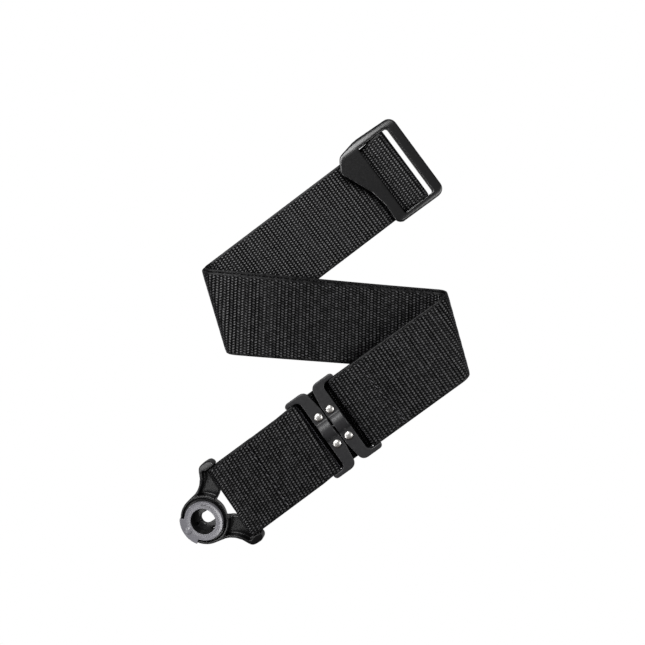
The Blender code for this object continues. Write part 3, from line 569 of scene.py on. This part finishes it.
def dress_plastics():
    """The lock, its dial and jaws, the adjuster's frames, the buckle and the link."""
    gloss = moulded(
        "lock_gloss_plastic",
        level=0.002,
        roughness=0.3,
        grain=0.001,
        shine=0.34,
        edge=0.3,
        dome=("lock_pivot", 17, 31, 0.42),
    )
    dial = dial_material()
    frames = moulded(
        "frame_satin_plastic", level=0.01, roughness=0.42, grain=0.015, shine=0.4, edge=0.5
    )
    buckle = moulded(
        "buckle_grained_plastic",
        level=0.003,
        roughness=0.22,
        grain=0.012,
        edge=0.5,
        dome=("buckle_pivot", 24, 31, 0.5),
    )
    inner = moulded("jaw_plastic", level=0.006, roughness=0.34, grain=0.01)

    dress("lock_body", gloss, voxel=0.27, rounds=30)
    dress("lock_back_cover", gloss, voxel=0.3, rounds=3)
    dress("release_dial", dial, voxel=0.18, rounds=2)
    dress("loop_buckle", buckle, voxel=0.3, rounds=36)
    for end in ("lock_side", "strap_side"):
        dress(f"adjuster_frame_{end}", frames, voxel=0.26, rounds=20)
    for node in ("jaw_left", "jaw_right", "swivel_link"):
        dress(node, inner)


def dress_steel():
    """The rivets and the lock's bar, which are polished, and the plainer hidden pieces."""
    bright = steel("polished_steel", level=0.6, roughness=0.34)
    dull = steel("plain_steel", level=0.4, roughness=0.38)
    dress("lock_bar", bright)
    dress("dial_retaining_ring", dull)
    for end in ("lock_side", "strap_side"):
        dress(f"clamp_plate_{end}", dull)
        for side in ("left", "right"):
            dress(f"rivet_{end}_{side}", bright, voxel=0.12, rounds=4)
    for node in [n for n in NODES if n.startswith(("jaw_spring", "cover_screw"))]:
        dress(node, dull)


def build():
    """Everything but the stage."""
    webbing = webbing_material()
    thread = thread_material()
    weave_band(webbing)
    sew("lock_end_stitches", "lock_end_stitching", thread)
    sew("adjuster_end_stitches", "adjuster_end_stitching", thread)
    dress_plastics()
    dress_steel()


# ------------------------------------------------------------------ stage


def table():
    """A white table, brighter to the camera than to the strap, and clear from below."""
    t = Tree("table")
    direct = t.add("LightPath").outputs["Is Camera Ray"]
    strength = t.ramp(direct, 0.0, 1.0, TABLE_GLOW, 1.0)
    shine = t.add("Emission", {"Color": grey(1.0), "Strength": strength}).outputs[0]
    clear = t.add("BsdfTransparent").outputs[0]
    under = t.add("NewGeometry").outputs["Backfacing"]
    mixed = t.add("MixShader", {0: under, 1: shine, 2: clear}).outputs[0]
    t.add("OutputMaterial", {"Surface": mixed})
    mesh = bpy.data.meshes.new("table")
    signs = ((-1, -1), (1, -1), (1, 1), (-1, 1))
    corners = [(x * TABLE_HALF, y * TABLE_HALF, -TABLE_DROP) for x, y in signs]
    mesh.from_pydata(corners, [], [(0, 1, 2, 3)])
    mesh.materials.append(t.owner)
    obj = bpy.data.objects.new("table", mesh)
    bpy.context.scene.collection.objects.link(obj)


def surroundings():
    """A dim room, brighter overhead, that the camera sees as plain white."""
    w = Tree("surroundings", "worlds")
    bpy.context.scene.world = w.owner
    up = w.add("SeparateXYZ", {0: w.add("TexCoord").outputs["Generated"]}).outputs[2]
    room = w.add("Background", {"Color": grey(1.0), "Strength": w.ramp(up, 0.3, 1.0, 0.06, 0.3)})
    seen = w.add("Background", {"Color": grey(1.0)})
    direct = w.add("LightPath").outputs["Is Camera Ray"]
    mix = w.add("MixShader", {0: direct, 1: room.outputs[0], 2: seen.outputs[0]})
    w.add("OutputWorld", {"Surface": mix.outputs[0]})


def light(name, place, size, power):
    """A round lamp aimed at the strap's middle; metres and watts."""
    data = bpy.data.lights.new(name, "AREA")
    data.shape = "DISK"
    data.size = size
    data.energy = power
    obj = bpy.data.objects.new(name, data)
    obj.location = place
    obj.rotation_euler = (-Vector(place)).to_track_quat("-Z", "Y").to_euler()
    bpy.context.scene.collection.objects.link(obj)


def lamps():
    """A key above left, a fill on the right, and three lamps that set single highlights."""
    light("key", (-0.42, 0.5, 0.95), size=0.5, power=7.0)
    light("fill", (0.8, -0.05, 0.5), size=0.6, power=5.0)
    light("glint", (-0.68, -0.56, 0.52), size=0.4, power=3.6)
    light("rim", (-0.21, 0.63, 0.68), size=0.4, power=6.0)
    light("side", (-0.78, 0.06, 0.6), size=0.4, power=3.0)


def camera():
    """Above the strap, looking straight down."""
    data = bpy.data.cameras.new("camera")
    data.lens = CAMERA_LENS
    data.clip_start = 0.01
    obj = bpy.data.objects.new("camera", data)
    obj.location = (*CAMERA_SIDE, CAMERA_HEIGHT)
    bpy.context.scene.collection.objects.link(obj)
    bpy.context.scene.camera = obj


bpy.context.scene.view_settings.view_transform = "Standard"
build()
table()
surroundings()
lamps()
camera()
